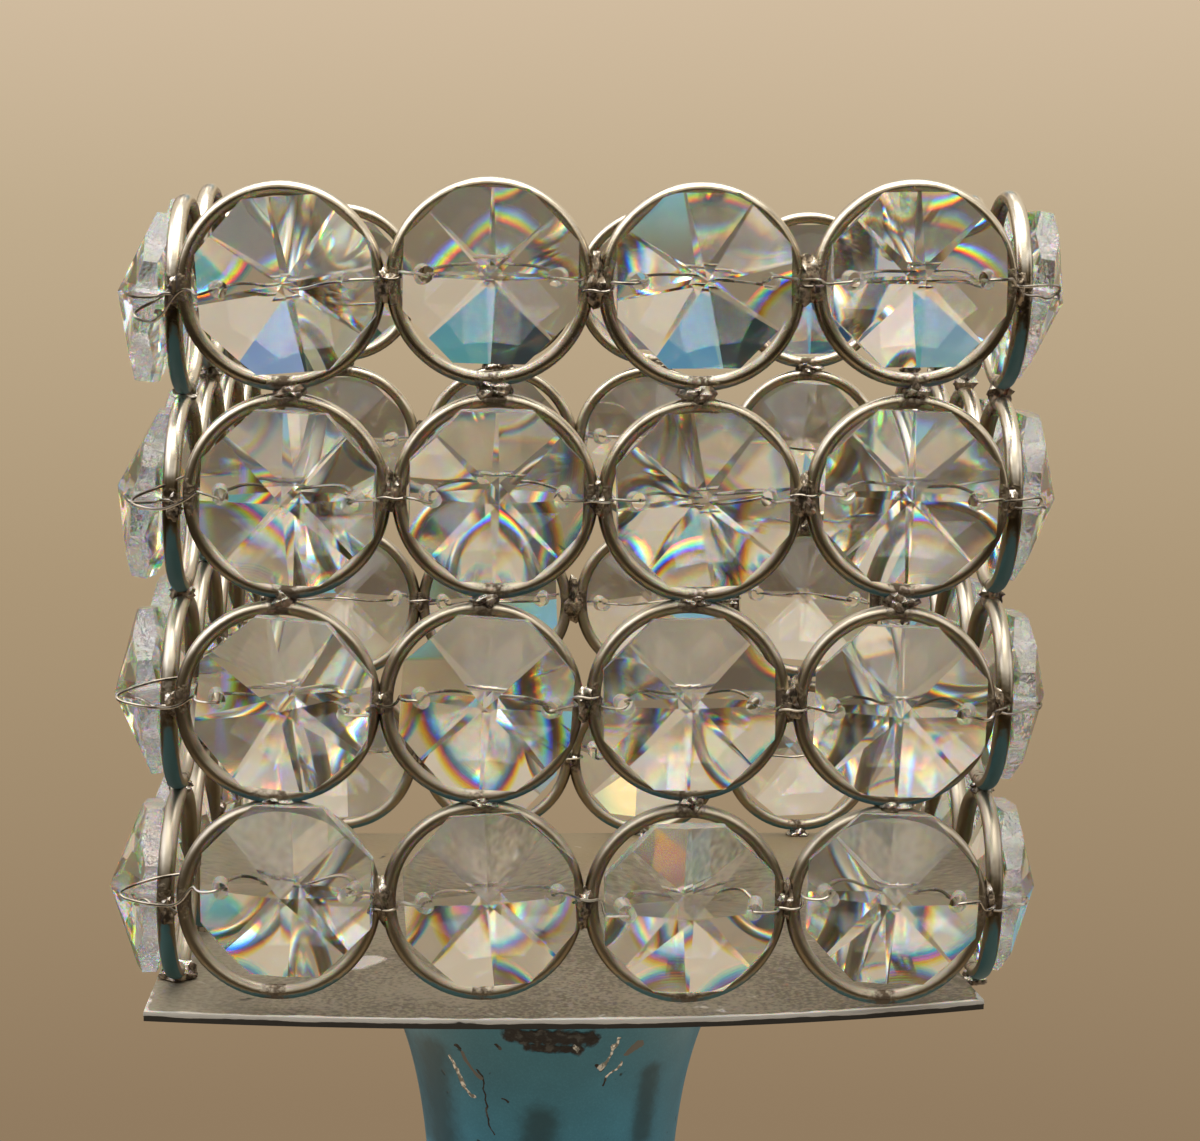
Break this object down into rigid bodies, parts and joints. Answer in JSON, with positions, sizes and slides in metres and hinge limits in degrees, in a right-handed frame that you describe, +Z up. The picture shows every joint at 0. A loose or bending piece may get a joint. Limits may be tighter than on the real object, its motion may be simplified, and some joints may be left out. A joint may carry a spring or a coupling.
{
  "type": "candle holder",
  "caption": "Open square cage of soldered wire rings faced with tied-on octagon crystals, on a thin plate and a flared enamelled pedestal, to stand a candle in.",
  "frame": {"origin": "centre of the felt pad's underside, on the pedestal's axis", "axes": "+Z up the pedestal, -Y out of the front panel, +X to the right as seen from the front"},
  "size_m": [0.092, 0.092, 0.2001],
  "materials": {
    "ring_wire": "tarnished champagne plating, worn bright on the crowns",
    "crystal": "clear cut crystal, polished facets",
    "tinned_plate": "dull grainy tinned sheet with a worn bright edge",
    "enamel": "turquoise metallic enamel, scratched near the plate",
    "braze": "dark rough braze",
    "fixing_steel": "zinc plated",
    "felt": "dark felt"
  },
  "bodies": {
    "root": {"felt_pad": "felt", "pedestal_foot": "enamel", "foot_washer": "fixing_steel", "foot_bolt": "fixing_steel", "pedestal_stem": "enamel", "stem_braze_ring": "braze", "candle_plate": "tinned_plate", "front_ring_row_1": "ring_wire", "front_crystal_strand_1": "crystal", "front_ring_row_2": "ring_wire", "front_crystal_strand_2": "crystal", "front_ring_row_3": "ring_wire", "front_crystal_strand_3": "crystal", "front_ring_row_4": "ring_wire", "front_crystal_strand_4": "crystal", "right_ring_row_1": "ring_wire", "right_crystal_strand_1": "crystal", "right_ring_row_2": "ring_wire", "right_crystal_strand_2": "crystal", "right_ring_row_3": "ring_wire", "right_crystal_strand_3": "crystal", "right_ring_row_4": "ring_wire", "right_crystal_strand_4": "crystal", "back_ring_row_1": "ring_wire", "back_crystal_strand_1": "crystal", "back_ring_row_2": "ring_wire", "back_crystal_strand_2": "crystal", "back_ring_row_3": "ring_wire", "back_crystal_strand_3": "crystal", "back_ring_row_4": "ring_wire", "back_crystal_strand_4": "crystal", "left_ring_row_1": "ring_wire", "left_crystal_strand_1": "crystal", "left_ring_row_2": "ring_wire", "left_crystal_strand_2": "crystal", "left_ring_row_3": "ring_wire", "left_crystal_strand_3": "crystal", "left_ring_row_4": "ring_wire", "left_crystal_strand_4": "crystal"}
  },
  "joints": []
}
